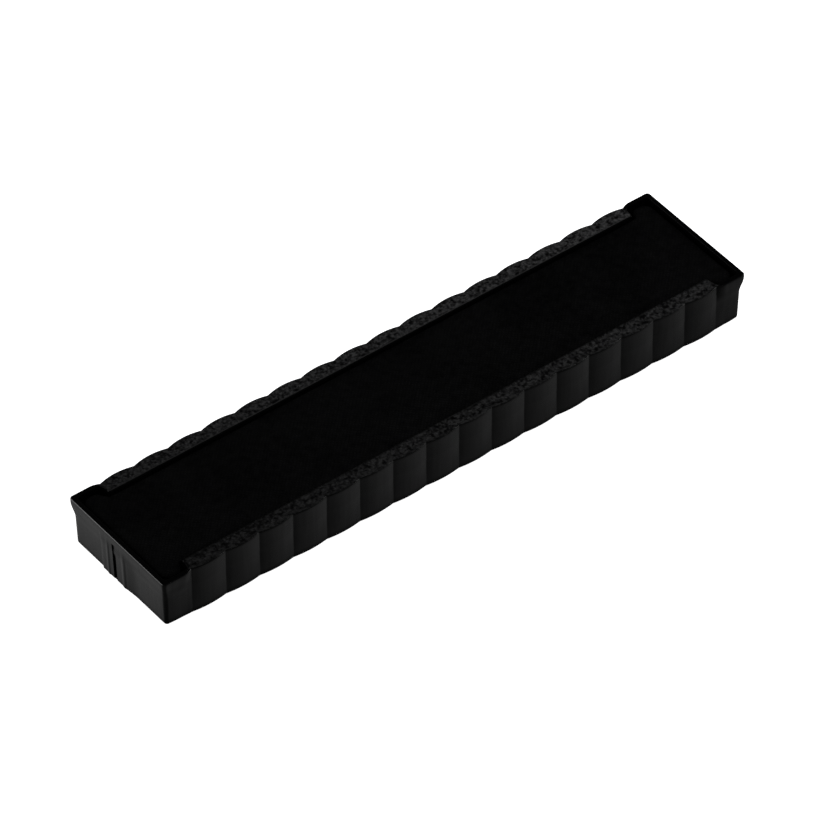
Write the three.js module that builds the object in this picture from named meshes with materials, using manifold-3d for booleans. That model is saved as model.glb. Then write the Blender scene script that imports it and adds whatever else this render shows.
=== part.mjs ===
// Slim ink pad cartridge for a self-inking text stamp.
// Millimetres, +Z up. X runs along the length, Y across the width.
// The origin is the centre of the flat underside.

import * as THREE from "three";
import { mergeVertices } from "three/addons/utils/BufferGeometryUtils.js";
import Module from "manifold-3d";

// Overall size
const LENGTH = 79.8;
const WIDTH = 17.25;
const HEIGHT = 6.65;

// Finger grips along both long sides
const SCALLOP_COUNT = 16;
const SCALLOP_PITCH = 4.5;
const SCALLOP_DEPTH = 0.35;
const GRIP_HALF = (SCALLOP_COUNT * SCALLOP_PITCH) / 2;
const SCALLOP_RADIUS = ((SCALLOP_PITCH / 2) ** 2 + SCALLOP_DEPTH ** 2) / (2 * SCALLOP_DEPTH);

// Guide flange round each end
const FLANGE_THICKNESS = 1.0;
const FLANGE_OVERHANG = 0.3;
const FLANGE_SLOPE = 1.4;
const FLANGE_CORNER = 0.45;
const FLANGE_BLEND = 1.2;

// Walls under the flange
const WALL_HALF_LENGTH = LENGTH / 2 - FLANGE_OVERHANG;
const WALL_HALF_WIDTH = WIDTH / 2 - FLANGE_OVERHANG;
const WALL_CORNER = 0.58;
const WALL_BULGE = 0.15;
const WALL_DRAFT = 0.15;
const BOTTOM_RADIUS = 0.4;
const FLOOR_THICKNESS = 1.0;

// Pocket for the pad: a rectangular well under a shallow dog-bone mouth
const WAIST_HALF_WIDTH = 6.5;
const RIM_WIDTH = 0.6;
const LEDGE_Z = HEIGHT - 1.35;
const END_WALL = 1.8;
const POCKET_CORNER = 0.4;

// Detent boss on each end wall, with a groove and two small ribs off its middle line
const BOSS_WIDTH = 6.5;
const BOSS_PROUD = 0.2;
const BOSS_CHAMFER = 0.25;
const GROOVE_WIDTH = 0.55;
const GROOVE_DEPTH = 0.9;
const GROOVE_OFFSET = 0.6;
const RIBS = [
  { offset: 1.75, width: 0.7 },
  { offset: -1.05, width: 0.9 },
];
const RIB_PROUD = 0.07;

// Moulding details of the underside
const PANEL_LENGTH = 25;
const PANEL_WIDTH = 9;
const PANEL_OFFSET = 19;
const PANEL_DEPTH = 0.25;
const PANEL_CORNER = 1.2;
const EJECTOR_RADIUS = 1.25;
const EJECTOR_DEPTH = 0.15;
const EJECTOR_X = 35.5;
const EJECTOR_Y = 4.5;

// Pad layers, from the floor up
const CLEARANCE = 0.3;
const FELT_BOTTOM = FLOOR_THICKNESS + CLEARANCE;
const FELT_THICKNESS = 1.6;
const FOAM_BOTTOM = FELT_BOTTOM + FELT_THICKNESS + CLEARANCE;
const CLOTH_THICKNESS = 0.4;
const CLOTH_TOP = HEIGHT - 0.25;
const CLOTH_GAP = 0.3;
const CLOTH_ROLL = 0.4;

const CURVE_SEGMENTS = 3;
const OVERCUT = 1;

const wasm = await Module();
wasm.setup();

// ---------------------------------------------------------------- solids

/** A manifold solid of a closed geometry. */
function toSolid(geometry) {
  const bare = geometry.index ? geometry.toNonIndexed() : geometry.clone();
  bare.deleteAttribute("normal");
  bare.deleteAttribute("uv");
  const merged = mergeVertices(bare, 1e-5);
  const mesh = new wasm.Mesh({
    numProp: 3,
    vertProperties: new Float32Array(merged.getAttribute("position").array),
    triVerts: new Uint32Array(merged.index.array),
  });
  return new wasm.Manifold(mesh);
}

/** A buffer geometry of a manifold solid. */
function toGeometry(solid) {
  const mesh = solid.getMesh();
  const geometry = new THREE.BufferGeometry();
  geometry.setAttribute("position", new THREE.BufferAttribute(mesh.vertProperties, 3));
  geometry.setIndex(new THREE.BufferAttribute(mesh.triVerts, 1));
  geometry.computeVertexNormals();
  return geometry;
}

/** A prism of an outline whose sides follow [z, inset] levels, from the lowest level up. */
function drafted(outline, levels) {
  const steps = levels.length - 1;
  const geometry = new THREE.ExtrudeGeometry(outline, {
    depth: steps,
    steps,
    curveSegments: CURVE_SEGMENTS,
    bevelEnabled: false,
  });
  const position = geometry.getAttribute("position");
  for (let i = 0; i < position.count; i += 1) {
    const [z, inset] = levels[Math.round(position.getZ(i))];
    const x = position.getX(i) * (1 - inset / (LENGTH / 2));
    const y = position.getY(i) * (1 - inset / (WIDTH / 2));
    position.setXYZ(i, x, y, z);
  }
  return toSolid(geometry);
}

/** A box between two corners. */
function block(low, high) {
  const size = new THREE.Vector3().subVectors(high, low);
  const centre = new THREE.Vector3().addVectors(low, high).multiplyScalar(0.5);
  const geometry = new THREE.BoxGeometry(size.x, size.y, size.z);
  geometry.translate(centre.x, centre.y, centre.z);
  return toSolid(geometry);
}

// ---------------------------------------------------------------- outlines

/** A closed outline through the points, with every corner rounded. */
function roundedOutline(points, radius) {
  const shape = new THREE.Shape();
  points.forEach((corner, i) => {
    const before = points[(i + points.length - 1) % points.length];
    const after = points[(i + 1) % points.length];
    const start = corner.clone().add(before.clone().sub(corner).setLength(radius));
    const end = corner.clone().add(after.clone().sub(corner).setLength(radius));
    if (i === 0) {
      shape.moveTo(start.x, start.y);
    } else {
      shape.lineTo(start.x, start.y);
    }
    shape.quadraticCurveTo(corner.x, corner.y, end.x, end.y);
  });
  shape.closePath();
  return shape;
}

/** A rounded rectangle about the origin. */
function roundedRectangle(halfLength, halfWidth, radius) {
  const corners = [
    [-1, -1],
    [1, -1],
    [1, 1],
    [-1, 1],
  ];
  const points = corners.map(([x, y]) => new THREE.Vector2(x * halfLength, y * halfWidth));
  return roundedOutline(points, radius);
}

/** The dog-bone outline of the pad: a long waist between the lands and a wider head at each end. */
function dogBone(halfLength, headHalfWidth, waistHalfLength, waistHalfWidth) {
  const quarter = [
    [halfLength, headHalfWidth],
    [waistHalfLength, headHalfWidth],
    [waistHalfLength, waistHalfWidth],
  ];
  const mirrored = quarter.map(([x, y]) => [-x, y]).reverse();
  const upper = [...quarter, ...mirrored];
  const lower = upper.map(([x, y]) => [-x, -y]);
  const points = [...upper, ...lower].map(([x, y]) => new THREE.Vector2(x, y));
  return roundedOutline(points, POCKET_CORNER);
}

/** The casing in plan: scallops along both long sides and a plain wall round each end. */
function casingOutline() {
  const shape = new THREE.Shape();
  const arcCentre = WIDTH / 2 - SCALLOP_RADIUS;
  const halfAngle = Math.asin(SCALLOP_PITCH / 2 / SCALLOP_RADIUS);
  const cuspY = WIDTH / 2 - SCALLOP_DEPTH;
  const cornerX = WALL_HALF_LENGTH - WALL_CORNER;
  const cornerY = WALL_HALF_WIDTH - WALL_CORNER;
  shape.moveTo(-GRIP_HALF, -cuspY);
  for (const side of [1, -1]) {
    const turn = side > 0 ? 0 : Math.PI;
    const down = turn - Math.PI / 2;
    for (let i = 0; i < SCALLOP_COUNT; i += 1) {
      const x = side * ((i + 0.5) * SCALLOP_PITCH - GRIP_HALF);
      shape.absarc(x, -side * arcCentre, SCALLOP_RADIUS, down - halfAngle, down + halfAngle, false);
    }
    const middle = (GRIP_HALF + cornerX) / 2;
    const bulge = WALL_HALF_WIDTH + WALL_BULGE;
    shape.quadraticCurveTo(side * middle, -side * bulge, side * cornerX, -side * WALL_HALF_WIDTH);
    shape.absarc(side * cornerX, -side * cornerY, WALL_CORNER, down, turn, false);
    shape.absarc(side * cornerX, side * cornerY, WALL_CORNER, turn, turn + Math.PI / 2, false);
    shape.quadraticCurveTo(side * middle, side * bulge, side * GRIP_HALF, side * cuspY);
  }
  return shape;
}

/** One end's guide flange in plan, from the last cusp round the end. */
function flangeOutline(side) {
  const turn = side > 0 ? 0 : Math.PI;
  const cuspY = WIDTH / 2 - SCALLOP_DEPTH;
  const blendX = GRIP_HALF + FLANGE_BLEND;
  const controlX = GRIP_HALF + FLANGE_BLEND / 2;
  const cornerX = LENGTH / 2 - FLANGE_CORNER;
  const cornerY = WIDTH / 2 - FLANGE_CORNER;
  const shape = new THREE.Shape();
  shape.moveTo(side * GRIP_HALF, -side * cuspY);
  shape.quadraticCurveTo(side * controlX, (-side * WIDTH) / 2, side * blendX, (-side * WIDTH) / 2);
  shape.absarc(side * cornerX, -side * cornerY, FLANGE_CORNER, turn - Math.PI / 2, turn, false);
  shape.absarc(side * cornerX, side * cornerY, FLANGE_CORNER, turn, turn + Math.PI / 2, false);
  shape.lineTo(side * blendX, (side * WIDTH) / 2);
  shape.quadraticCurveTo(side * controlX, (side * WIDTH) / 2, side * GRIP_HALF, side * cuspY);
  shape.closePath();
  return shape;
}

// ---------------------------------------------------------------- casing

/** A vertical bar standing proud of an end wall, from the underside's edge up to the flange. */
function endBar(side, centreY, width, proud) {
  const half = width / 2;
  const inner = WALL_HALF_LENGTH - WALL_CORNER;
  const outer = WALL_HALF_LENGTH + proud;
  const chamfer = Math.min(BOSS_CHAMFER, half * 0.6);
  const shape = new THREE.Shape();
  shape.moveTo(side * inner, centreY - half);
  shape.lineTo(side * (outer - proud), centreY - half);
  shape.lineTo(side * outer, centreY - half + chamfer);
  shape.lineTo(side * outer, centreY + half - chamfer);
  shape.lineTo(side * (outer - proud), centreY + half);
  shape.lineTo(side * inner, centreY + half);
  shape.closePath();
  const top = HEIGHT - FLANGE_THICKNESS;
  return drafted(shape, [
    [0, WALL_DRAFT + BOTTOM_RADIUS],
    [BOTTOM_RADIUS, WALL_DRAFT],
    [top, 0],
  ]);
}

/** The vertical detent groove cut into an end wall: deep below the ledge, shallow above it up to the flange. */
function detentGroove(side) {
  const outer = LENGTH / 2 + OVERCUT;
  const deep = WALL_HALF_LENGTH + BOSS_PROUD - GROOVE_DEPTH;
  const shallow = LENGTH / 2 - RIM_WIDTH / 2;
  const centreY = -side * GROOVE_OFFSET;
  const reach = [
    { x: deep, bottom: BOTTOM_RADIUS / 2, top: LEDGE_Z - GROOVE_WIDTH / 2 },
    { x: shallow, bottom: LEDGE_Z - GROOVE_WIDTH, top: HEIGHT - FLANGE_THICKNESS },
  ];
  const cuts = reach.map(({ x, bottom, top }) =>
    block(
      new THREE.Vector3(side > 0 ? x : -outer, centreY - GROOVE_WIDTH / 2, bottom),
      new THREE.Vector3(side > 0 ? outer : -x, centreY + GROOVE_WIDTH / 2, top),
    ),
  );
  return cuts[0].add(cuts[1]);
}

/** The scalloped body with its flanges and end bosses, still solid inside. */
function casingBlank() {
  let blank = drafted(casingOutline(), [
    [0, WALL_DRAFT + BOTTOM_RADIUS],
    [BOTTOM_RADIUS * 0.3, WALL_DRAFT + BOTTOM_RADIUS * 0.3],
    [BOTTOM_RADIUS, WALL_DRAFT],
    [HEIGHT - FLANGE_THICKNESS, 0],
    [HEIGHT, 0],
  ]);
  for (const side of [1, -1]) {
    const flange = drafted(flangeOutline(side), [
      [HEIGHT - FLANGE_THICKNESS - FLANGE_SLOPE, FLANGE_OVERHANG],
      [HEIGHT - FLANGE_THICKNESS, 0],
      [HEIGHT, 0],
    ]);
    blank = blank.add(flange).add(endBar(side, 0, BOSS_WIDTH, BOSS_PROUD));
    for (const { offset, width } of RIBS) {
      blank = blank.add(endBar(side, -side * offset, width, BOSS_PROUD + RIB_PROUD));
    }
    blank = blank.subtract(detentGroove(side));
  }
  return blank;
}

/** The space for the pad: a rectangular well with a shallow dog-bone mouth over it. */
function padPocket() {
  const top = HEIGHT + OVERCUT;
  const mouth = dogBone(LENGTH / 2 - RIM_WIDTH, WIDTH / 2 - RIM_WIDTH, GRIP_HALF, WAIST_HALF_WIDTH);
  const well = roundedRectangle(LENGTH / 2 - END_WALL, WAIST_HALF_WIDTH, POCKET_CORNER);
  const shallow = drafted(mouth, [[LEDGE_Z, 0], [top, 0]]);
  const deep = drafted(well, [[FLOOR_THICKNESS, 0], [top, 0]]);
  return shallow.add(deep);
}

/** Shallow moulding recesses cut into the underside: two blank panels and four ejector marks. */
function undersideRecesses() {
  let recesses = null;
  for (const x of [-1, 1]) {
    const panel = drafted(roundedRectangle(PANEL_LENGTH / 2, PANEL_WIDTH / 2, PANEL_CORNER), [
      [-OVERCUT, 0],
      [PANEL_DEPTH, 0],
    ]).translate([x * PANEL_OFFSET, 0, 0]);
    recesses = recesses ? recesses.add(panel) : panel;
    for (const y of [-1, 1]) {
      const mark = new THREE.CylinderGeometry(EJECTOR_RADIUS, EJECTOR_RADIUS, 2 * EJECTOR_DEPTH, 24);
      mark.rotateX(Math.PI / 2);
      mark.translate(x * EJECTOR_X, y * EJECTOR_Y, 0);
      recesses = recesses.add(toSolid(mark));
    }
  }
  return recesses;
}

/** The one-piece moulded tray. */
function makeCasing() {
  return toGeometry(casingBlank().subtract(padPocket()).subtract(undersideRecesses()));
}

// ---------------------------------------------------------------- pad

/** A plain slab that fills the well in plan, moved in from its walls by a margin. */
function wellSlab(margin, bottom, top) {
  const halfLength = LENGTH / 2 - END_WALL - margin;
  const halfWidth = WAIST_HALF_WIDTH - margin;
  const outline = roundedRectangle(halfLength, halfWidth, POCKET_CORNER);
  return drafted(outline, [[bottom, 0], [top, 0]]);
}

/** The ink-holding felt slab that lies on the floor of the well. */
function makeReservoirFelt() {
  return toGeometry(wellSlab(CLEARANCE, FELT_BOTTOM, FELT_BOTTOM + FELT_THICKNESS));
}

/** The soft foam that presses the cloth upwards. */
function makeFoamCore() {
  const margin = CLOTH_GAP + CLOTH_THICKNESS + CLEARANCE;
  return toGeometry(wellSlab(margin, FOAM_BOTTOM, CLOTH_TOP - CLOTH_THICKNESS - CLEARANCE));
}

/** The woven cover: a dog-bone top face with rolled edges and a skirt tucked down round the foam. */
function makeCoverCloth() {
  const edge = RIM_WIDTH + CLOTH_GAP;
  const face = dogBone(
    LENGTH / 2 - edge,
    WIDTH / 2 - edge,
    GRIP_HALF + CLOTH_GAP,
    WAIST_HALF_WIDTH - CLOTH_GAP,
  );
  const top = drafted(face, [
    [LEDGE_Z + CLEARANCE, 0],
    [CLOTH_TOP - CLOTH_ROLL, 0],
    [CLOTH_TOP - CLOTH_ROLL * 0.3, CLOTH_ROLL * 0.3],
    [CLOTH_TOP, CLOTH_ROLL],
  ]);
  const skirt = wellSlab(CLOTH_GAP, FOAM_BOTTOM, CLOTH_TOP - CLOTH_ROLL);
  const inside = wellSlab(
    CLOTH_GAP + CLOTH_THICKNESS,
    FOAM_BOTTOM - OVERCUT,
    CLOTH_TOP - CLOTH_THICKNESS,
  );
  return toGeometry(top.add(skirt).subtract(inside));
}

// ---------------------------------------------------------------- assembly

/** A named mesh with its own material. */
function piece(name, geometry, look) {
  const mesh = new THREE.Mesh(geometry, new THREE.MeshStandardMaterial(look));
  mesh.name = name;
  return mesh;
}

const cartridge = new THREE.Group();
cartridge.name = "ink_pad_cartridge";
cartridge.add(
  piece("casing", makeCasing(), { color: 0x1b1b1c, roughness: 0.42, metalness: 0 }),
  piece("reservoir_felt", makeReservoirFelt(), { color: 0x0c0c0d, roughness: 0.95, metalness: 0 }),
  piece("foam_core", makeFoamCore(), { color: 0x101011, roughness: 0.95, metalness: 0 }),
  piece("cover_cloth", makeCoverCloth(), { color: 0x09090a, roughness: 0.85, metalness: 0 }),
);

export default cartridge;
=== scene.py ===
"""Slim ink pad cartridge: the looks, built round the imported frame.

Working unit: millimetres, turned into metres when a mesh is made.
X runs along the length, Y across the width, Z up from the flat underside.
"""
import math

import bpy
import numpy as np
from mathutils import Matrix, Vector, noise
from mathutils.geometry import delaunay_2d_cdt


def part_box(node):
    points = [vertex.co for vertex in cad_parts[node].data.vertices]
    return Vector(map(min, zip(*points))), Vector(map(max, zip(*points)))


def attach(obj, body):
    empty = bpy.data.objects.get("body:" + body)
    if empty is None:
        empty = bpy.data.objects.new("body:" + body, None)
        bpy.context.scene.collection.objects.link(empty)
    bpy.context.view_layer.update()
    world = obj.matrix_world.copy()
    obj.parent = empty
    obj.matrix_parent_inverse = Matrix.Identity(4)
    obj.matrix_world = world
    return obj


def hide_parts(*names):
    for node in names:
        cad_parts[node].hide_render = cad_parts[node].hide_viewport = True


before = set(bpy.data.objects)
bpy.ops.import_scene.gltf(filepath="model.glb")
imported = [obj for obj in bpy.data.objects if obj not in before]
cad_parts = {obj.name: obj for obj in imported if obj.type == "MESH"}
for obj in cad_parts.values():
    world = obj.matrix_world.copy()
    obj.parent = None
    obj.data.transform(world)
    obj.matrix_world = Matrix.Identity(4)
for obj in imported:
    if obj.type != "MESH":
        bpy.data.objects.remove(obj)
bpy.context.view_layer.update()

MM = 0.001
CASING_HIGH = Vector(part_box("casing")[1]) / MM
HALF_LENGTH = CASING_HIGH.x
HALF_WIDTH = CASING_HIGH.y
HEIGHT = CASING_HIGH.z

# Finger grips
SCALLOPS = 16
PITCH = 4.5
SCALLOP_DEPTH = 0.35
GRIP_HALF = SCALLOPS * PITCH / 2
SCALLOP_RADIUS = ((PITCH / 2) ** 2 + SCALLOP_DEPTH ** 2) / (2 * SCALLOP_DEPTH)
CUSP_Y = HALF_WIDTH - SCALLOP_DEPTH

# Guide flange and walls
FLANGE = 1.0
OVERHANG = 0.3
SLOPE = 1.4
FLANGE_LOW = HEIGHT - FLANGE
SLOPE_LOW = FLANGE_LOW - SLOPE
LIP_LOW, LIP_HIGH = SLOPE_LOW - 0.3, HEIGHT - 0.45
FLANGE_CORNER = 0.45
FLANGE_BLEND = 1.2
WALL_X = HALF_LENGTH - OVERHANG
WALL_Y = HALF_WIDTH - OVERHANG
WALL_CORNER = 0.58
WALL_BULGE = 0.08
DRAFT = 0.15
BOTTOM_RADIUS = 0.4
TOP_RADIUS = 0.14
LAND_EDGE_RADIUS = 0.1
RIM_EDGE_RADIUS = 0.03
ETCH_HEIGHT = 0.045
SCALLOP_FADE = 0.45

# Pocket
RIM = 0.6
WAIST_Y = 6.5
MOUTH_CORNER = 0.5
LEDGE_Z = HEIGHT - 1.35
WELL_X = HALF_LENGTH - 1.8
FLOOR_Z = 1.0

# End bosses
BOSS_HALF = 3.25
BOSS_PROUD = 0.2
BOSS_STEEP = 0.45
BOSS_GENTLE = 2.2
GROOVE_HALF = 0.28
GROOVE_Y = 0.6
GROOVE_DEPTH = 0.9
GROOVE_LOW = BOTTOM_RADIUS / 2
GROOVE_HIGH = FLANGE_LOW
GROOVE_FADE = (0.9, LEDGE_Z - 0.8)
GROOVE_HIGH_INSET = 0.2
RIBS = ((1.75, 0.7), (-1.05, 0.9))
RIB_PROUD = 0.07

# Underside
PANEL_HALF = (12.5, 4.5)
PANEL_X = 19.0
PANEL_DEPTH = 0.25
PANEL_CORNER = 1.2
EJECTOR_RADIUS = 1.25
EJECTOR_DEPTH = 0.15
EJECTOR_AT = (35.5, 4.5)
RECESS_EDGE = 0.07

# Mesh density
PER_SCALLOP = 24
CORNER_STEPS = 10
STEP_SAMPLES = 10
SIDE_SAMPLES = 14
LAND_ROWS = 14


# ------------------------------------------------------------------ mesh tools

def smoothstep(low, high, value):
    t = np.clip((value - low) / (high - low), 0.0, 1.0)
    return t * t * (3 - 2 * t)


def relief(points, size, seed, octaves=3):
    """Soft fractal noise of about -1 to 1 at each point, with features of that size in millimetres."""
    offset = Vector((17.3 * seed, -9.1 * seed, 5.7 * seed))
    return np.array([noise.fractal(Vector(p) / size + offset, 0.6, 2.0, octaves) for p in points])


def ring_faces(rings, count, first=0):
    """Quads between successive closed rings of the same number of points."""
    faces = []
    for r in range(rings - 1):
        a = first + r * count
        b = a + count
        for i in range(count):
            j = (i + 1) % count
            faces.append((a + i, a + j, b + j, b + i))
    return faces


def make_object(name, points, faces, material, smooth=True):
    """A mesh object from points in millimetres."""
    mesh = bpy.data.meshes.new(name)
    mesh.from_pydata([tuple(p) for p in np.asarray(points, float) * MM], [], faces)
    mesh.validate()
    mesh.update()
    mesh.shade_flat()
    if smooth:
        mesh.shade_smooth()
        mesh.set_sharp_from_angle(angle=math.radians(38))
    piece = bpy.data.objects.new(name, mesh)
    bpy.context.scene.collection.objects.link(piece)
    mesh.materials.append(material)
    return piece


def inside_loop(points, x, y):
    """True if a point lies inside a closed loop."""
    x0, y0 = points[:, 0], points[:, 1]
    x1, y1 = np.roll(x0, -1), np.roll(y0, -1)
    spans = (y0 > y) != (y1 > y)
    crossing = x0 + (y - y0) / np.where(spans, y1 - y0, 1) * (x1 - x0)
    return bool(np.count_nonzero(spans & (x < crossing)) % 2)


def cap(loops, up):
    """Triangles that fill flat nested loops, [(first index, points), ...], with the outer loop first."""
    index, flat, edges = [], [], []
    for first, points in loops:
        start, count = len(flat), len(points)
        index += range(first, first + count)
        flat += [Vector((p[0], p[1])) for p in points]
        edges += [(start + k, start + (k + 1) % count) for k in range(count)]
    _, _, triangles, sources, _, _ = delaunay_2d_cdt(flat, edges, [], 1, 1e-6)
    faces = []
    for triangle in triangles:
        corners = [sources[k][0] for k in triangle]
        a, b, c = (flat[k] for k in corners)
        middle = (a + b + c) / 3
        if any(inside_loop(np.asarray(points), *middle) for _, points in loops[1:]):
            continue
        if ((b - a).cross(c - a) > 0) != up:
            corners.reverse()
        faces.append(tuple(index[k] for k in corners))
    return faces


# ------------------------------------------------------------------ casing: plan curves

def arc(centre, radius, start, end, steps):
    """Points on an arc in degrees, without its last point, and their directions from the centre."""
    angles = np.radians(np.linspace(start, end, steps + 1)[:-1])
    directions = np.stack([np.cos(angles), np.sin(angles)], axis=1)
    return np.array(centre) + radius * directions, directions


def line(start, end, steps):
    """Points on a straight line, without its last point."""
    t = np.linspace(0, 1, steps + 1)[:-1, None]
    return np.array(start) * (1 - t) + np.array(end) * t


def bezier(start, control, end, steps):
    """Points on a quadratic curve, without its last point."""
    t = np.linspace(0, 1, steps + 1)[:-1, None]
    return (1 - t) ** 2 * np.array(start) + 2 * t * (1 - t) * np.array(control) + t ** 2 * np.array(end)


def scallop_row():
    """The front grip from the -X cusp to the +X cusp: crests on the width, sharp cusps between them."""
    half_angle = math.asin(PITCH / 2 / SCALLOP_RADIUS)
    close = 0.02
    across = np.linspace(-1, 1, PER_SCALLOP + 1)[:-1]
    across = np.sort(np.concatenate([across, [-1 + close, 1 - close]])) * half_angle
    middles = (np.arange(SCALLOPS) + 0.5) * PITCH - GRIP_HALF
    x = (middles[:, None] + SCALLOP_RADIUS * np.sin(across)).ravel()
    y = np.tile(SCALLOP_RADIUS - HALF_WIDTH - SCALLOP_RADIUS * np.cos(across), SCALLOPS)
    return np.stack([x, y], axis=1)


def end_wall_stations():
    """The y stations of an end wall, close together at the edges of its boss, ribs and groove."""
    limit = WALL_Y - WALL_CORNER
    stations = list(np.linspace(-limit, limit, 33))
    stations += list(np.linspace(-BOSS_HALF, BOSS_STEEP - BOSS_HALF, 7))
    stations += list(np.linspace(BOSS_HALF - BOSS_GENTLE, BOSS_HALF, 13))
    for centre, width in RIBS:
        stations += [-centre + width / 2 * u for u in (-1, -0.75, -0.5, -0.25, 0, 0.25, 0.5, 0.75, 1)]
    for edge in (GROOVE_Y - GROOVE_HALF, GROOVE_Y + GROOVE_HALF):
        stations += [-edge - 0.04, -edge - 0.012, -edge + 0.012, -edge + 0.04]
    stations = sorted(stations)
    kept = [stations[0]]
    for y in stations[1:]:
        if y - kept[-1] > 0.008:
            kept.append(y)
    return np.array(kept)


def plan_loops():
    """The casing's matching plan loops, each a closed ring of points in the same order.

    wall: under the flange; flange: the top outline; mouth and well: the pocket; out: outward directions."""
    side_steps = STEP_SAMPLES + SIDE_SAMPLES
    corner_y = WALL_Y - WALL_CORNER
    mouth_x, mouth_y = HALF_LENGTH - RIM, HALF_WIDTH - RIM
    mouth_corner = np.array([mouth_x - MOUTH_CORNER, mouth_y - MOUTH_CORNER])
    well_corner_radius = 0.3
    well_y = WAIST_Y - 0.05
    land_fillet, notch_fillet = 0.25, 0.4
    land_end = GRIP_HALF - land_fillet

    grip = scallop_row()
    squeezed = GRIP_HALF - PITCH / 2
    shrink = (land_end - squeezed) / (GRIP_HALF - squeezed)
    grip_x = np.where(
        np.abs(grip[:, 0]) > squeezed,
        np.sign(grip[:, 0]) * (squeezed + (np.abs(grip[:, 0]) - squeezed) * shrink),
        grip[:, 0],
    )
    down = np.array([0.0, -1.0])

    middle = (GRIP_HALF + WALL_X - WALL_CORNER) / 2
    wall_side = bezier(
        (GRIP_HALF, -CUSP_Y), (middle, -WALL_Y - 2 * WALL_BULGE), (WALL_X - WALL_CORNER, -WALL_Y), side_steps
    )
    blend_steps = side_steps // 2
    flange_side = np.concatenate([
        bezier((GRIP_HALF, -CUSP_Y), (GRIP_HALF + FLANGE_BLEND / 2, -HALF_WIDTH),
               (GRIP_HALF + FLANGE_BLEND, -HALF_WIDTH), blend_steps),
        line((GRIP_HALF + FLANGE_BLEND, -HALF_WIDTH), (HALF_LENGTH - FLANGE_CORNER, -HALF_WIDTH),
             side_steps - blend_steps),
    ])
    step = np.concatenate([
        arc((land_end, -WAIST_Y - land_fillet), land_fillet, 90, 0, 3)[0],
        line((GRIP_HALF, -WAIST_Y - land_fillet), (GRIP_HALF, -mouth_y + notch_fillet), 3),
        arc((GRIP_HALF + notch_fillet, -mouth_y + notch_fillet), notch_fillet, 180, 270, 4)[0],
    ])
    mouth_side = np.concatenate([
        step, line((GRIP_HALF + notch_fillet, -mouth_y), (mouth_corner[0], -mouth_y), SIDE_SAMPLES)
    ])
    well_side = line((land_end, -well_y), (WELL_X - well_corner_radius, -well_y), side_steps)

    ends = end_wall_stations()[:-1]
    loops = {"wall": [], "flange": [], "mouth": [], "well": [], "out": [], "end": []}

    def add(wall, flange, mouth, well, out, end):
        for key, value in zip(loops, (wall, flange, mouth, well, out, end)):
            loops[key].append(value)

    count = len(grip)
    add(grip, grip, np.stack([grip_x, np.full(count, -WAIST_Y)], 1),
        np.stack([grip_x, np.full(count, -well_y)], 1), np.tile(down, (count, 1)), np.zeros(count))
    add(wall_side, flange_side, mouth_side, well_side, np.tile(down, (side_steps, 1)), np.zeros(side_steps))
    for first in (-90, 0):
        turn = -1 if first < 0 else 1
        wall, out = arc((WALL_X - WALL_CORNER, turn * corner_y), WALL_CORNER, first, first + 90, CORNER_STEPS)
        flange = arc((HALF_LENGTH - FLANGE_CORNER, turn * (HALF_WIDTH - FLANGE_CORNER)), FLANGE_CORNER,
                     first, first + 90, CORNER_STEPS)[0]
        mouth = arc((mouth_corner[0], turn * mouth_corner[1]), MOUTH_CORNER,
                    first, first + 90, CORNER_STEPS)[0]
        well = arc((WELL_X - well_corner_radius, turn * (well_y - well_corner_radius)), well_corner_radius,
                   first, first + 90, CORNER_STEPS)[0]
        add(wall, flange, mouth, well, out, np.zeros(CORNER_STEPS))
        if first < 0:
            n = len(ends)
            column = np.ones(n)
            add(np.stack([WALL_X * column, ends], 1), np.stack([HALF_LENGTH * column, ends], 1),
                np.stack([mouth_x * column, ends * mouth_corner[1] / corner_y], 1),
                np.stack([WELL_X * column, ends * (well_y - well_corner_radius) / corner_y], 1),
                np.stack([column, 0 * column], 1), column)

    def back(front, end_point):
        """The same side mirrored to +Y and run the other way, again without its last point."""
        whole = np.concatenate([front, [end_point]])
        return (whole * [1, -1])[::-1][:-1]

    add(back(wall_side, (WALL_X - WALL_CORNER, -WALL_Y)),
        back(flange_side, (HALF_LENGTH - FLANGE_CORNER, -HALF_WIDTH)),
        back(mouth_side, (mouth_corner[0], -mouth_y)),
        back(well_side, (WELL_X - well_corner_radius, -well_y)),
        np.tile(-down, (side_steps, 1)), np.zeros(side_steps))
    half = {key: np.concatenate(value) for key, value in loops.items()}
    whole = {key: np.concatenate([v, -v]) for key, v in half.items() if key != "end"}
    whole["end"] = np.concatenate([half["end"], half["end"]])
    return whole


def ring_normals(ring):
    """Outward directions of a closed anticlockwise ring."""
    along = np.roll(ring, -1, axis=0) - np.roll(ring, 1, axis=0)
    out = np.stack([along[:, 1], -along[:, 0]], axis=1)
    return out / np.maximum(np.linalg.norm(out, axis=1, keepdims=True), 1e-9)


# ------------------------------------------------------------------ casing: sections

def outer_inset(z):
    """How far the outside lies inside its plan outline at a height: draft and rounded edges."""
    inset = DRAFT * max(0.0, 1 - z / SLOPE_LOW)
    if z < BOTTOM_RADIUS:
        inset += BOTTOM_RADIUS - math.sqrt(BOTTOM_RADIUS ** 2 - (BOTTOM_RADIUS - z) ** 2)
    if z > HEIGHT - TOP_RADIUS:
        inset += TOP_RADIUS - math.sqrt(max(0.0, TOP_RADIUS ** 2 - (z - HEIGHT + TOP_RADIUS) ** 2))
    return inset


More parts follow.
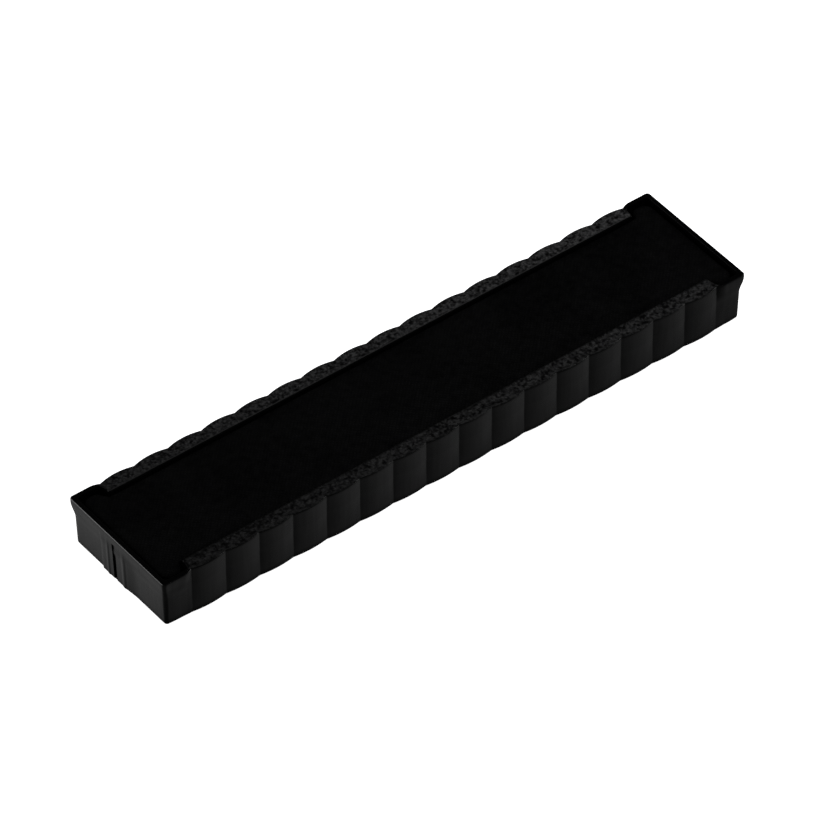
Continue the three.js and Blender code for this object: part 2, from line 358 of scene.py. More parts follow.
def outer_heights():
    """The heights of the outside's rings, from the underside up."""
    edge = 0.012
    bottom = [BOTTOM_RADIUS * (1 - math.cos(math.radians(a))) for a in (0, 15, 30, 45, 75, 90)]
    top = [HEIGHT - TOP_RADIUS * (1 - math.sin(math.radians(a))) for a in (0, 25, 45, 65, 90)]
    wall = list(np.linspace(0.7, SLOPE_LOW - 0.12, 9)) + [SLOPE_LOW - 0.22, SLOPE_LOW - 0.05]
    slope = [SLOPE_LOW + SLOPE * u for u in (0, 0.12, 0.25, 0.38, 0.5, 0.62, 0.75, 0.88)]
    flange = [FLANGE_LOW + edge + 0.02, FLANGE_LOW + 0.06, FLANGE_LOW + 0.3, FLANGE_LOW + 0.6]
    groove = [GROOVE_LOW - edge, GROOVE_LOW + edge, GROOVE_HIGH - edge, GROOVE_HIGH + edge]
    return sorted(bottom + top + wall + slope + flange + groove)


def end_relief(offset):
    """How far an end wall stands proud at a distance off its middle line."""
    steep = smoothstep(0, BOSS_STEEP, BOSS_HALF - offset)
    gentle = smoothstep(0, BOSS_GENTLE, BOSS_HALF + offset)
    proud = BOSS_PROUD * np.minimum(steep, gentle)
    for centre, width in RIBS:
        u = np.clip((offset - centre) / (width / 2), -1, 1)
        proud = proud + RIB_PROUD * (0.5 + 0.5 * np.cos(math.pi * u))
    return proud


def groove_floor(z):
    """The groove's floor: deep near the underside and growing shallower up to the flange."""
    deep = WALL_X + BOSS_PROUD - GROOVE_DEPTH
    shallow = HALF_LENGTH - GROOVE_HIGH_INSET
    return deep + (shallow - deep) * float(smoothstep(*GROOVE_FADE, z))


def shallow_scallops(flat, is_end, z):
    """The outline with its scallops growing shallower towards the underside."""
    depth = HALF_WIDTH - np.abs(flat[:, 1])
    beside = (is_end < 0.5) * (1 - smoothstep(GRIP_HALF, GRIP_HALF + 1.5, np.abs(flat[:, 0])))
    share = SCALLOP_FADE * float(1 - smoothstep(0.2, 4.0, z)) * beside
    moved = flat.copy()
    moved[:, 1] += np.sign(flat[:, 1]) * depth * share
    return moved


def lip_share(z):
    """How far the outside has moved out from the wall to the flange at a height."""
    return float(smoothstep(LIP_LOW, LIP_HIGH, z))


def outer_ring(plan, z):
    """One ring of the outside at a height, with the end walls' bosses, ribs and grooves."""
    out_share = lip_share(z)
    flat = plan["wall"] * (1 - out_share) + plan["flange"] * out_share
    flat = shallow_scallops(flat, plan["end"], z)
    flat = flat - plan["out"] * outer_inset(z)
    half_turn = np.sign(flat[:, 0])
    offset = -half_turn * flat[:, 1]
    is_end = plan["end"] > 0.5
    fade = (1 - out_share) * min(1.0, z / BOTTOM_RADIUS)
    flat[:, 0] += half_turn * np.where(is_end, end_relief(offset) * fade, 0)
    if GROOVE_LOW < z < GROOVE_HIGH:
        inside = is_end & (np.abs(offset - GROOVE_Y) < GROOVE_HALF)
        flat[inside, 0] = half_turn[inside] * groove_floor(z)
    return np.column_stack([flat, np.full(len(flat), z)])


def recess_loops(outline, normals, depth):
    """Rings of a shallow recess in the underside, from its rounded lip up to its floor."""
    levels = [(0.0, RECESS_EDGE), (0.3, RECESS_EDGE * 0.3), (1.0, 0.0)]
    rings = [np.column_stack([outline + normals * out, np.full(len(outline), RECESS_EDGE * up)])
             for up, out in levels]
    rings.append(np.column_stack([outline, np.full(len(outline), depth - RECESS_EDGE * 0.5)]))
    rings.append(np.column_stack([outline - normals * RECESS_EDGE * 0.5, np.full(len(outline), depth)]))
    return rings


def rounded_rectangle(half_x, half_y, radius, steps=8):
    """A closed anticlockwise ring and its outward directions."""
    points, out = [], []
    for quarter, (sx, sy) in enumerate(((1, 1), (-1, 1), (-1, -1), (1, -1))):
        centre = (sx * (half_x - radius), sy * (half_y - radius))
        angles = np.radians(np.linspace(90 * quarter, 90 * quarter + 90, steps))
        directions = np.stack([np.cos(angles), np.sin(angles)], axis=1)
        points.append(np.array(centre) + radius * directions)
        out.append(directions)
    return np.concatenate(points), np.concatenate(out)


def underside_recesses():
    """The blank panels and ejector marks: (rings, ...) of each."""
    recesses = []
    panel, panel_out = rounded_rectangle(*PANEL_HALF, PANEL_CORNER)
    turn = np.linspace(0, 2 * math.pi, 33)[:-1]
    mark_out = np.stack([np.cos(turn), np.sin(turn)], axis=1)
    mark = EJECTOR_RADIUS * mark_out
    for sx in (-1, 1):
        recesses.append(recess_loops(panel + [sx * PANEL_X, 0], panel_out, PANEL_DEPTH))
        for sy in (-1, 1):
            at = [sx * EJECTOR_AT[0], sy * EJECTOR_AT[1]]
            recesses.append(recess_loops(mark + at, mark_out, EJECTOR_DEPTH))
    return recesses


def build_casing(material):
    """The whole moulding as one closed mesh.

    Its attributes say how etched, how far into the flange's slope and how far into the darker, duller rim
    finish each point is."""
    plan = plan_loops()
    count = len(plan["wall"])
    mouth_out = ring_normals(plan["mouth"])
    rings = [outer_ring(plan, z) for z in outer_heights()]
    etch = [np.zeros(count) for _ in rings]
    on_end = smoothstep(-0.1, 0.3, np.abs(plan["flange"][:, 0]) - GRIP_HALF)
    # rim: where the colour is made darker and the gloss lower: the end rims' top, the pocket's edge and its
    # walls
    rim = [np.zeros(count) for _ in rings[:-2]] + [0.4 * on_end, 0.1 + 0.9 * on_end]
    beside = 1 - smoothstep(-0.2, 0.2, GRIP_HALF - np.abs(plan["wall"][:, 0]))
    lip = [4 * lip_share(z) * (1 - lip_share(z)) * beside for z in outer_heights()]

    outer_edge = rings[-1][:, :2]
    by_land = smoothstep(-0.1, 0.1, GRIP_HALF - np.abs(plan["mouth"][:, 0]))
    edge_radius = RIM_EDGE_RADIUS + (LAND_EDGE_RADIUS - RIM_EDGE_RADIUS) * by_land
    inner_edge = plan["mouth"] + mouth_out * edge_radius[:, None]
    on_land = smoothstep(0, 0.15, GRIP_HALF - np.abs(inner_edge[:, 0]))
    for row in range(1, LAND_ROWS):
        t = row / LAND_ROWS
        flat = outer_edge * (1 - t) + inner_edge * t
        rings.append(np.column_stack([flat, np.full(count, HEIGHT)]))
        etch.append(on_land * smoothstep(0, 0.12, min(t, 1 - t)))
        rim.append(on_end)
    for angle in (0, 30, 60, 90):
        a = math.radians(angle)
        out = edge_radius * (1 - math.sin(a))
        z = HEIGHT - edge_radius * (1 - math.cos(a))
        rings.append(np.column_stack([plan["mouth"] + mouth_out * out[:, None], z]))
        etch.append(np.zeros(count))
        rim.append(np.ones(count))
    inside = (("mouth", HEIGHT - 0.5), ("mouth", HEIGHT - 0.9), ("mouth", LEDGE_Z),
              ("well", LEDGE_Z), ("well", LEDGE_Z - 0.6), ("well", 2.8), ("well", FLOOR_Z))
    for loop, z in inside:
        rings.append(np.column_stack([plan[loop], np.full(count, z)]))
        etch.append(np.zeros(count))
        rim.append(np.ones(count))

    points = np.concatenate(rings)
    etch = np.concatenate(etch)
    skin = etch.copy()
    edge_ring = len(outer_heights()) - 2
    for ring, share in ((edge_ring, 0.35), (edge_ring + 1, 0.7)):
        skin[ring * count:(ring + 1) * count] = share * (1 - on_end)
    grain = relief(points * [1, 1, 0], 0.55, 3, 3) + 0.5 * relief(points * [1, 1, 0], 0.24, 5, 2)
    points[:, 2] += etch * ETCH_HEIGHT * (np.clip(grain, -1, 1) - 1)
    faces = ring_faces(len(rings), count)

    bottom_loops = [(0, rings[0])]
    floor_first = (len(rings) - 1) * count
    faces += cap([(floor_first, rings[-1])], up=True)
    first = len(points)
    extra = []
    for loops in underside_recesses():
        n = len(loops[0])
        bottom_loops.append((first, loops[0]))
        faces += [tuple(reversed(f)) for f in ring_faces(len(loops), n, first)]
        faces += cap([(first + (len(loops) - 1) * n, loops[-1])], up=False)
        extra += loops
        first += n * len(loops)
    faces += cap(bottom_loops, up=False)
    points = np.concatenate([points, *extra])
    casing = make_object("casing_shell", points, faces, material)
    for face in casing.data.polygons:
        if face.normal.z < -0.9999:
            face.use_smooth = False
    for name, marked in (("etch", skin), ("lip", np.concatenate(lip)), ("darker_rim", np.concatenate(rim))):
        values = np.zeros(len(points), np.float32)
        values[:len(marked)] = marked
        casing.data.attributes.new(name, "FLOAT", "POINT").data.foreach_set("value", values)
    return casing


# ------------------------------------------------------------------ pad

# Cloth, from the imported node: its face, its rolled edge and its tucked skirt
CLOTH_X, CLOTH_Y, CLOTH_TOP = Vector(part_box("cover_cloth")[1]) / MM
CLOTH_WAIST_Y = WAIST_Y - 0.16
CLOTH_NOTCH = (GRIP_HALF + 0.1, GRIP_HALF + 1.1)
CLOTH_CORNER = 1.1
CLOTH_ROLL = 0.5
CLOTH_WAIST_ROLL = 0.24
CLOTH_CROWN = 0.02
CLOTH_THICKNESS = 0.28
CLOTH_HEM_END = LEDGE_Z + 0.08
CLOTH_HEM_WAIST = 4.2

# The simulation that draws the cloth tight: metres of simulated cloth per millimetre, and how far it may move
DRAPE_SCALE = 0.02
DRAPE_FRAMES = 22
DRAPE_LIMIT = 0.07


def cloth_half_width(x, inset):
    """Half the cloth's width at a place along it, moved in from its edge."""
    away = np.abs(x)
    width = CLOTH_WAIST_Y + (CLOTH_Y - CLOTH_WAIST_Y) * smoothstep(*CLOTH_NOTCH, away - inset * 0.4)
    radius = CLOTH_CORNER - inset
    past = np.clip(away - (CLOTH_X - CLOTH_CORNER), 0, radius * 0.96)
    return width - inset - (radius - np.sqrt(radius ** 2 - past ** 2))


def cloth_roll(x):
    """The radius of the cloth's rolled edge at a place along it: tight along the waist."""
    return CLOTH_WAIST_ROLL + (CLOTH_ROLL - CLOTH_WAIST_ROLL) * smoothstep(*CLOTH_NOTCH, np.abs(x))


def face_grid(columns, rows, half_length, half_width_at, crowded):
    """A grid over a face: columns along it and rows across, closer together where crowded."""
    x = np.concatenate([np.linspace(-half_length, half_length, columns), crowded, -np.asarray(crowded)])
    x = np.unique(np.round(x, 4))
    x = x[np.concatenate([[True], np.diff(x) > 0.02])]
    across = np.sin(np.linspace(-1, 1, rows) * math.pi / 2 * 0.86) / math.sin(math.pi / 2 * 0.86)
    wide = half_width_at(x)
    return np.stack([np.repeat(x[:, None], rows, 1), wide[:, None] * across], axis=2)


def grid_border(columns, rows):
    """The indices round a grid's edge, anticlockwise seen from above."""
    index = np.arange(columns * rows).reshape(columns, rows)
    return np.concatenate([index[:-1, 0], index[-1, :-1], index[:0:-1, -1], index[0, :0:-1]])


def grid_faces(columns, rows):
    """Quads of a grid, facing up."""
    return [(c * rows + r, (c + 1) * rows + r, (c + 1) * rows + r + 1, c * rows + r + 1)
            for c in range(columns - 1) for r in range(rows - 1)]


def drape(points, faces, pinned):
    """The cloth pulled tight from its tucked hem while the foam pushes it up, as a short simulation.

    Returns the settled points. It runs at twenty times life size, and no point moves past the limit."""
    scene = bpy.context.scene
    mesh = bpy.data.meshes.new("loose_cloth")
    mesh.from_pydata([tuple(p) for p in points * DRAPE_SCALE], [], faces)
    loose = bpy.data.objects.new("loose_cloth", mesh)
    scene.collection.objects.link(loose)
    hem = loose.vertex_groups.new(name="hem")
    hem.add([int(i) for i in pinned], 1.0, "REPLACE")
    modifier = loose.modifiers.new("drape", "CLOTH")
    modifier.point_cache.frame_end = DRAPE_FRAMES
    settings = modifier.settings
    settings.vertex_group_mass = "hem"
    settings.quality = 6
    settings.mass = 0.2
    settings.air_damping = 6
    settings.tension_stiffness = 30
    settings.compression_stiffness = 30
    settings.shear_stiffness = 8
    settings.bending_stiffness = 0.4
    settings.shrink_min = 0.001
    settings.effector_weights.gravity = 0
    settings.use_pressure = True
    settings.uniform_pressure_force = 0.25
    modifier.collision_settings.use_collision = False
    for frame_number in range(1, DRAPE_FRAMES + 1):
        scene.frame_set(frame_number)
    settled = loose.evaluated_get(bpy.context.evaluated_depsgraph_get()).data
    moved = np.empty(len(points) * 3)
    settled.vertices.foreach_get("co", moved)
    moved = moved.reshape(-1, 3) / DRAPE_SCALE - points
    scene.frame_set(1)
    bpy.data.objects.remove(loose)
    farthest = max(np.linalg.norm(moved, axis=1).max(), 1e-6)
    return points + moved * min(1.0, DRAPE_LIMIT / farthest)


def build_cover(material):
    """The cloth cover: one crowned face, rolled over all round and tucked down between foam and casing."""
    crowded = np.linspace(CLOTH_NOTCH[0] - 0.6, CLOTH_X - CLOTH_ROLL, 16)
    grid = face_grid(170, 30, CLOTH_X - CLOTH_ROLL, lambda x: cloth_half_width(x, cloth_roll(x)), crowded)
    columns, rows = grid.shape[:2]
    flat = grid.reshape(-1, 2)
    wide = np.maximum(cloth_half_width(flat[:, 0], 0), 0.1)
    edge_on = (1 - (flat[:, 1] / wide) ** 2) * (1 - smoothstep(CLOTH_X - 5, CLOTH_X, np.abs(flat[:, 0])))
    height = CLOTH_TOP - DRAPE_LIMIT - CLOTH_CROWN * (1 - np.clip(edge_on, 0, 1))
    points = [np.column_stack([flat, height])]
    faces = grid_faces(columns, rows)
    border = grid_border(columns, rows)
    count = len(border)
    edge = flat[border]
    edge_height = height[border]
    out = ring_normals(edge)
    for _ in range(6):
        out = out + np.roll(out, 1, axis=0) + np.roll(out, -1, axis=0)
        out /= np.linalg.norm(out, axis=1, keepdims=True)
    hem = np.where(np.abs(edge[:, 0]) < GRIP_HALF, CLOTH_HEM_WAIST, CLOTH_HEM_END)
    previous = border
    first = len(flat)
    roll = cloth_roll(edge[:, 0])
    over = out * roll[:, None]
    roll_low = edge_height - roll * 0.75
    levels = [("roll", a) for a in (12, 24, 36, 48, 60, 72, 84, 90)]
    levels += [("skirt", t) for t in (0.3, 0.65, 1.0)]
    for kind, value in levels:
        if kind == "roll":
            a = math.radians(value)
            ring = edge + over * math.sin(a)
            z = edge_height - (edge_height - roll_low) * (1 - math.cos(a))
        else:
            ring = edge + over
            z = roll_low * (1 - value) + np.minimum(hem, roll_low - 0.05) * value
        points.append(np.column_stack([ring, z]))
        current = np.arange(first, first + count)
        for k in range(count):
            n = (k + 1) % count
            faces.append((previous[k], current[k], current[n], previous[n]))
        previous = current
        first += count
    points = np.concatenate(points)
    pinned = np.arange(len(points) - 2 * count, len(points))
    points = drape(points, faces, pinned)
    points[:, 2] += relief(points, 6.0, 11, 2) * 0.03 + relief(points, 1.6, 12, 2) * 0.012
    cover = make_object("cloth_cover", points, faces, material)
    fine = cover.modifiers.new("finer", "SUBSURF")
    fine.levels = 1
    fine.render_levels = 1
    thick = cover.modifiers.new("thickness", "SOLIDIFY")
    thick.thickness = CLOTH_THICKNESS * MM
    thick.offset = -1
    return cover


def build_slab(name, node, material, crown, edge, lump, lump_size, seed):
    """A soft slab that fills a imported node: crowned top, rounded edges and an uneven surface."""
    low, high = (Vector(c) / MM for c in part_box(node))
    half_x, half_y = high.x, high.y
    corner = 1.0

    def half_width(x):
        past = np.clip(np.abs(x) - (half_x - corner), 0, (corner - edge) * 0.96)
        return half_y - edge - ((corner - edge) - np.sqrt((corner - edge) ** 2 - past ** 2))

    grid = face_grid(150, 26, half_x - edge, half_width, np.linspace(half_x - corner, half_x - edge, 8))
    columns, rows = grid.shape[:2]
    flat = grid.reshape(-1, 2)
    border = grid_border(columns, rows)
    count = len(border)
    out = ring_normals(flat[border])
    points = [np.column_stack([flat, np.full(len(flat), high.z)])]
    faces = grid_faces(columns, rows)
    previous = border
    first = len(flat)
    profile = [(edge * math.sin(a), high.z - edge * (1 - math.cos(a))) for a in np.radians((22, 45, 67, 90))]
    profile += [(edge, (high.z * (3 - t) + low.z * t) / 3) for t in (1, 2)]
    profile += [(edge * math.cos(a), low.z + edge * (1 - math.sin(a))) for a in np.radians((0, 30, 60))]
    for wide, z in profile:
        points.append(np.column_stack([flat[border] + out * wide, np.full(count, z)]))
        current = np.arange(first, first + count)
        faces += [(previous[k], current[k], current[(k + 1) % count], previous[(k + 1) % count])
                  for k in range(count)]
        previous = current
        first += count
    points.append(np.column_stack([flat, np.full(len(flat), low.z)]))
    faces += [tuple(reversed([first + i for i in f])) for f in grid_faces(columns, rows)]
    rim = np.array([first + int(b) for b in border])
    faces += [(previous[k], rim[k], rim[(k + 1) % count], previous[(k + 1) % count]) for k in range(count)]
    points = np.concatenate(points)
    top_share = np.clip((points[:, 2] - low.z) / (high.z - low.z), 0, 1)
    bow = 1 - np.clip(np.abs(points[:, 1]) / half_y, 0, 1) ** 2
    points[:, 2] -= top_share * crown * (1 - bow)
    points[:, 2] -= top_share * lump * (0.5 + 0.5 * relief(points, lump_size, seed, 3))
    return make_object(name, points, faces, material)


# ------------------------------------------------------------------ materials

class Nodes:
    """A small helper that adds shader nodes to one material."""

    def __init__(self, name):
        self.material = bpy.data.materials.new(name)
        self.material.use_nodes = True
        self.tree = self.material.node_tree
        self.shader = self.tree.nodes["Principled BSDF"]
        self.place = self.add("ShaderNodeTexCoord").outputs["Object"]

    def add(self, kind, **settings):
        node = self.tree.nodes.new(kind)
        for key, value in settings.items():
            if hasattr(node, key):
                setattr(node, key, value)
            else:
                node.inputs[key.replace("_", " ")].default_value = value
        return node

    def link(self, source, target):
        self.tree.links.new(source, target)

    def noise(self, size, detail=3.0, roughness=0.6, stretch=None):
        """Noise with features of that size in millimetres, from 0 to 1."""
        node = self.add("ShaderNodeTexNoise", Scale=1 / (size * MM), Detail=detail, Roughness=roughness)
        self.link(self.stretched(stretch) if stretch else self.place, node.inputs["Vector"])
        return node.outputs["Fac"]

    def stretched(self, scale):
        node = self.add("ShaderNodeMapping")
        node.inputs["Scale"].default_value = scale
        self.link(self.place, node.inputs["Vector"])
        return node.outputs["Vector"]

    def ramp(self, value, low, high, out_low=0.0, out_high=1.0):
        node = self.add("ShaderNodeMapRange")
        limits = {"From Min": low, "From Max": high, "To Min": out_low, "To Max": out_high}
        for socket, number in limits.items():
            node.inputs[socket].default_value = number
        self.link(value, node.inputs["Value"])
        return node.outputs["Result"]

    def math(self, operation, a, b):
        node = self.add("ShaderNodeMath", operation=operation)
        for socket, value in zip(node.inputs, (a, b)):
            if isinstance(value, (int, float)):
                socket.default_value = value
            else:
                self.link(value, socket)
        return node.outputs["Value"]

    def blend(self, share, a, b):
        """A colour between two."""
        node = self.add("ShaderNodeMix", data_type="RGBA")
        self.link(share, node.inputs["Factor"])
        for socket, value in zip(("A", "B"), (a, b)):
            target = [i for i in node.inputs if i.name == socket and i.type == "RGBA"][0]
            if isinstance(value, tuple):
                target.default_value = (*value, 1.0)
            else:
                self.link(value, target)
        return [o for o in node.outputs if o.type == "RGBA"][0]

    def mix_numbers(self, share, a, b):
        node = self.add("ShaderNodeMix", data_type="FLOAT")
        self.link(share, node.inputs["Factor"])
        for socket, value in zip(node.inputs[2:4], (a, b)):
            if isinstance(value, (int, float)):
                socket.default_value = value
            else:
                self.link(value, socket)
        return node.outputs["Result"]

    def bump(self, height, depth, below=None):
        """A bump of that depth in millimetres, on top of another."""
        node = self.add("ShaderNodeBump", Distance=depth * MM)
        node.inputs["Strength"].default_value = 1.0
        self.link(height, node.inputs["Height"])
        if below:
            self.link(below, node.inputs["Normal"])
        return node.outputs["Normal"]

    def along(self, axis, low, high, out_low, out_high):
        """A number that changes along an axis, between two places in millimetres."""
        split = self.add("ShaderNodeSeparateXYZ")
        self.link(self.place, split.inputs["Vector"])
        return self.ramp(split.outputs[axis], low * MM, high * MM, out_low, out_high)

    def attribute(self, name):
        return self.add("ShaderNodeAttribute", attribute_name=name).outputs["Fac"]

    def finish(self, colour=None, roughness=None, normal=None, gloss=None, **uniform):
        for socket, value in (("Base Color", colour), ("Roughness", roughness), ("Normal", normal),
                              ("Specular IOR Level", gloss)):
            if value is not None:
                self.link(value, self.shader.inputs[socket])
        for socket, value in uniform.items():
            self.shader.inputs[socket.replace("_", " ")].default_value = value
        return self.material


def casing_plastic():
    """Satin black moulded plastic, with coarse etching on the lands and faint handling marks, and painted
    light and shade on the lands.
    """
    n = Nodes("black_moulded_plastic")
    etch = n.attribute("etch")
    cloudy = n.noise(7.0, 3.0)
    fine = n.noise(0.5, 4.0)
    # the rim and pocket walls: a darker colour and much less gloss where the rim attribute is set
    rim = n.attribute("darker_rim")
    streaks = n.noise(0.5, 3.0, 0.6, (1.0, 1.0, 0.08))
    scuffs = n.ramp(n.noise(2.5, 5.0, 0.7, (0.25, 1.0, 1.0)), 0.58, 0.74)
    base = n.blend(cloudy, (0.003, 0.003, 0.0032), (0.0045, 0.0045, 0.0047))
    worn = n.blend(n.math("MULTIPLY", scuffs, 0.3), base, (0.012, 0.012, 0.0125))
    blotches = n.ramp(n.noise(0.48, 2.0, 0.5), 0.34, 0.62)
    grit = n.ramp(n.noise(0.24, 2.0, 0.6), 0.32, 0.7)
    mottle_and_highlight = n.math("MULTIPLY", blotches, n.math("ADD", n.math("MULTIPLY", grit, 0.7), 0.3))
    # painted highlight: a brighter, glossier strip along the back land's inner edge beside the pad, raised
    # into the etch blotches; the front land gets none
    painted_highlight_strip = n.math("MULTIPLY", n.along("Y", WAIST_Y + 0.4, WAIST_Y + 0.15, 0.0, 0.7),
                        n.along("Y", 0.0, 1.0, 0.0, 1.0))
    mottle_and_highlight = n.math("MAXIMUM", mottle_and_highlight, painted_highlight_strip)
    # painted shade: the front land darker than the back and the lands lighter towards +X, multiplied into the
    # etched colour and its gloss
    painted_land_shade = n.math("MULTIPLY", n.along("Y", -3, 3, 0.6, 1.0), n.along("X", -36, 36, 0.55, 1.18))
    land_tone_and_painted_light = n.math("MULTIPLY", mottle_and_highlight, painted_land_shade)
    etched = n.blend(land_tone_and_painted_light, (0.0015, 0.0015, 0.0016), (0.046, 0.046, 0.047))
    colour = n.blend(etch, n.blend(rim, worn, (0.001, 0.001, 0.0011)), etched)
    smooth_roughness = n.ramp(n.math("ADD", cloudy, n.math("MULTIPLY", fine, 0.35)), 0.4, 0.9, 0.2, 0.32)
    scuffed = n.math("ADD", smooth_roughness, n.math("MULTIPLY", scuffs, 0.12))
    roughness = n.mix_numbers(etch, scuffed, n.ramp(mottle_and_highlight, 0.0, 1.0, 0.5, 0.7))
    skin = n.bump(n.noise(0.12, 2.0), 0.0012)
    waviness = n.bump(n.noise(3.5, 2.0), 0.010, skin)
    normal = n.bump(n.math("MULTIPLY", mottle_and_highlight, etch), 0.05, waviness)
    # polish: how glossy the smooth walls are, from the dull foot up, along each axis and on the ends
    polish = n.math("MULTIPLY", n.along("Z", 0.6, 6.2, 0.26, 0.5), n.along("Z", 0.3, 1.0, 0.12, 1.0))
    polish = n.math("MULTIPLY", polish, n.ramp(n.attribute("lip"), 0.0, 1.0, 1.0, 0.5))
    polish = n.math("MULTIPLY", polish, n.along("Y", -8.2, 8.2, 0.95, 1.48))
    polish = n.math("MULTIPLY", polish, n.along("X", -12, 36, 1.0, 0.78))
    on_ends = n.ramp(n.math("ABSOLUTE", n.along("X", -40, 40, -40, 40), 0.0), 38.9, 39.3)
    polish = n.math("MULTIPLY", polish, n.mix_numbers(on_ends, 1.0, n.along("Z", 0.8, 6.4, 0.74, 1.2)))
    polish = n.math("MULTIPLY", polish, n.ramp(streaks, 0.3, 0.7, 0.86, 1.14))
    polish = n.math("MULTIPLY", polish, n.ramp(rim, 0.0, 1.0, 1.0, 0.2))
    gloss = n.mix_numbers(etch, polish, n.ramp(land_tone_and_painted_light, 0.0, 1.0, 0.06, 0.7))
    return n.finish(colour, roughness, normal, gloss, IOR=1.5)


def cover_weave():
    """Fine plain-woven cloth, black with ink, damper in patches."""
    n = Nodes("inked_cover_cloth")
    thread = 0.26
    split = n.add("ShaderNodeSeparateXYZ")
    sway = n.noise(2.2, 2.0)
    n.link(n.place, split.inputs["Vector"])
    waves = []
    for axis in ("X", "Y"):
        along = n.math("ADD", n.math("MULTIPLY", split.outputs[axis], math.pi / (thread * MM)),
                       n.math("MULTIPLY", sway, 1.6))
        waves.append(n.math("SINE", along, 0.0))
    crossing = n.math("MULTIPLY", *waves)
    ribs = n.math("ADD", n.math("ABSOLUTE", waves[0], 0.0), n.math("ABSOLUTE", waves[1], 0.0))
    weave = n.math("ADD", n.math("MULTIPLY", crossing, 0.5), n.math("MULTIPLY", ribs, 0.35))
    fibres = n.noise(0.09, 3.0, 0.7)
    damp = n.math("ADD", n.math("MULTIPLY", n.ramp(n.noise(9.0, 4.0, 0.6), 0.42, 0.62), 0.4),
                  n.math("MULTIPLY", n.ramp(n.noise(0.9, 3.0, 0.7), 0.36, 0.64), 0.6))
    dry = n.blend(n.ramp(weave, -0.4, 1.1), (0.0012, 0.0012, 0.0013), (0.0046, 0.0046, 0.0048))
    wet = n.blend(n.ramp(weave, -0.4, 1.1), (0.0001, 0.0001, 0.0002), (0.0006, 0.0006, 0.0007))
    colour = n.blend(damp, dry, wet)
    roughness = n.math("ADD", n.ramp(damp, 0, 1, 0.84, 0.66), n.ramp(fibres, 0.3, 0.7, -0.06, 0.08))
    threads = n.bump(weave, 0.03)
    normal = n.bump(fibres, 0.012, threads)
    return n.finish(colour, roughness, normal, IOR=1.4, Specular_IOR_Level=0.08)


def soaked_fibre(name, size, stretch, light):
    """Ink-soaked felt or foam: matt and black, with a fibrous or porous skin."""
    n = Nodes(name)
    coarse = n.noise(size, 5.0, 0.7, stretch)
    pores = n.add("ShaderNodeTexVoronoi", Scale=1 / (size * 0.8 * MM))
    n.link(n.place, pores.inputs["Vector"])
    colour = n.blend(coarse, (0.002, 0.002, 0.0022), (light, light, light * 1.05))
    roughness = n.ramp(coarse, 0.3, 0.7, 0.7, 0.95)
    normal = n.bump(pores.outputs["Distance"], size * 0.3, n.bump(coarse, size * 0.4))
    return n.finish(colour, roughness, normal, Specular_IOR_Level=0.3)


def floor_paper():
    """The white top of a light table, with a faint paper grain."""
    n = Nodes("white_light_table")
    shade = n.blend(n.noise(60.0, 3.0), (0.9, 0.9, 0.9), (0.93, 0.93, 0.93))
    n.material.cycles.emission_sampling = "NONE"
    return n.finish(shade, None, n.bump(n.noise(1.5, 3.0), 0.01), Roughness=0.8, Specular_IOR_Level=0.2,
                    Emission_Color=(1.0, 1.0, 1.0, 1.0), Emission_Strength=1.0)


# ------------------------------------------------------------------ stage

# The dome's own strength, apart from its bounces
DOME_BASE = 0.018


def add_camera():
    """A long lens from the near left, high up, with the object across the frame."""
    azimuth, elevation, roll = (math.radians(a) for a in (-37.31, 43.46, -0.42))
    distance, aim_height = 0.821, 3.0 * MM
    slide_right, slide_up = -0.55 * MM, 0.06 * MM
    towards = Vector((math.sin(azimuth) * math.cos(elevation), -math.cos(azimuth) * math.cos(elevation),
                      math.sin(elevation)))
    level_right = (-towards).cross(Vector((0, 0, 1))).normalized()
    level_up = level_right.cross(-towards)
    right = level_right * math.cos(roll) + level_up * math.sin(roll)
    up = -level_right * math.sin(roll) + level_up * math.cos(roll)
    data = bpy.data.cameras.new("camera")
    data.sensor_width = 36
    data.lens = 332.15
    data.clip_start, data.clip_end = 0.01, 20
    camera = bpy.data.objects.new("camera", data)
    bpy.context.scene.collection.objects.link(camera)
    position = Vector((0, 0, aim_height)) + towards * distance + right * slide_right + up * slide_up
    turn = Matrix((right, up, towards)).transposed().to_4x4()
    camera.matrix_world = Matrix.Translation(position) @ turn
    bpy.context.scene.camera = camera


def add_light(name, azimuth, elevation, distance, size, power, aim=(0, 0, 0)):
    """A square soft light, seen from the object at that azimuth and elevation."""
    a, e = math.radians(azimuth), math.radians(elevation)
    towards = Vector((math.sin(a) * math.cos(e), -math.cos(a) * math.cos(e), math.sin(e)))
    data = bpy.data.lights.new(name, "AREA")
    data.shape = "RECTANGLE"
    data.size, data.size_y = size
    data.energy = power
    light = bpy.data.objects.new(name, data)
    light.location = Vector(aim) + towards * distance
    light.rotation_euler = towards.to_track_quat("Z", "Y").to_euler()
    bpy.context.scene.collection.objects.link(light)
    return light


def add_glow(nodes, links, place, towards, start, full, strength):
    """A soft patch of the dome: brightest at one direction and fading out round it."""
    facing = nodes.new("ShaderNodeVectorMath")
    facing.operation = "DOT_PRODUCT"
    facing.inputs[1].default_value = Vector(towards).normalized()
    links.new(place, facing.inputs[0])
    fade = nodes.new("ShaderNodeMapRange")
    fade.interpolation_type = "SMOOTHSTEP"
    fade.inputs["From Min"].default_value = start
    fade.inputs["From Max"].default_value = full
    fade.inputs["To Max"].default_value = strength
    links.new(facing.outputs["Value"], fade.inputs["Value"])
    return fade.outputs["Result"]


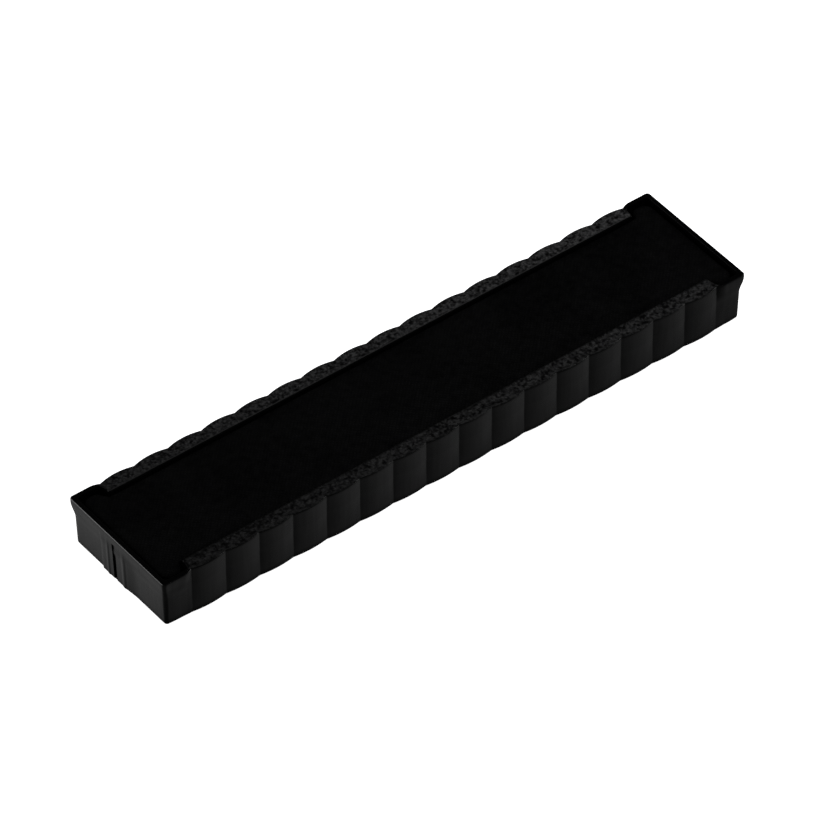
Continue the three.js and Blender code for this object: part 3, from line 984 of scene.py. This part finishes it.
def add_dome():
    """A dim studio dome with soft bounces low round it, dimmer than the white table would give.

    A bounce is its direction, the cosines where it starts and is full, and its strength."""
    world = bpy.data.worlds.new("studio")
    world.use_nodes = True
    nodes, links = world.node_tree.nodes, world.node_tree.links
    place = nodes.new("ShaderNodeTexCoord").outputs["Generated"]
    bounces = (
        ((-0.44, 0.8, -0.42), 0.6, 1.0, 0.29),
        ((0.75, -0.42, -0.5), 0.5, 0.98, 0.155),
        ((-0.58, -0.44, -0.69), 0.5, 1.0, 0.035),
        ((0.68, 0.68, -0.27), 0.65, 1.0, 0.25),
    )
    total = None
    for bounce in bounces:
        glow = add_glow(nodes, links, place, *bounce)
        both = nodes.new("ShaderNodeMath")
        both.operation = "ADD"
        both.inputs[1].default_value = DOME_BASE
        links.new(glow, both.inputs[0])
        if total:
            links.new(total, both.inputs[1])
        total = both.outputs["Value"]
    links.new(total, nodes["Background"].inputs["Strength"])
    nodes["Background"].inputs["Color"].default_value = (1, 1, 1, 1)
    bpy.context.scene.world = world


def add_stage():
    floor_points = [(-900, -900, 0), (900, -900, 0), (900, 900, 0), (-900, 900, 0)]
    floor = make_object("floor", floor_points, [(0, 1, 2, 3)], floor_paper(), smooth=False)
    floor.location.z = -0.02 * MM
    floor.visible_glossy = False
    floor.visible_diffuse = False
    floor.visible_shadow = False
    add_dome()
    bpy.context.scene.view_settings.view_transform = "Standard"
    add_light("key_left", -125, 18, 0.6, (0.6, 0.5), 2.1)
    add_light("fill_right", 70, 15, 0.6, (0.25, 0.2), 0.6)
    overhead = add_light("overhead", 60, 60, 0.22, (0.1, 0.1), 0.22)
    overhead.visible_glossy = False


# ------------------------------------------------------------------ assembly

add_camera()
add_stage()

casing = build_casing(casing_plastic())
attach(casing, "root")
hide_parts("casing")

cover = build_cover(cover_weave())
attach(cover, "root")
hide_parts("cover_cloth")

foam = build_slab("foam_cushion", "foam_core", soaked_fibre("inked_foam", 0.35, (1, 1, 1), 0.01),
                  0.2, 0.35, 0.05, 0.9, 21)
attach(foam, "root")
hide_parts("foam_core")

felt = build_slab("felt_reservoir", "reservoir_felt", soaked_fibre("inked_felt", 0.8, (0.3, 1, 1), 0.008),
                  0.08, 0.3, 0.12, 1.6, 31)
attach(felt, "root")
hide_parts("reservoir_felt")
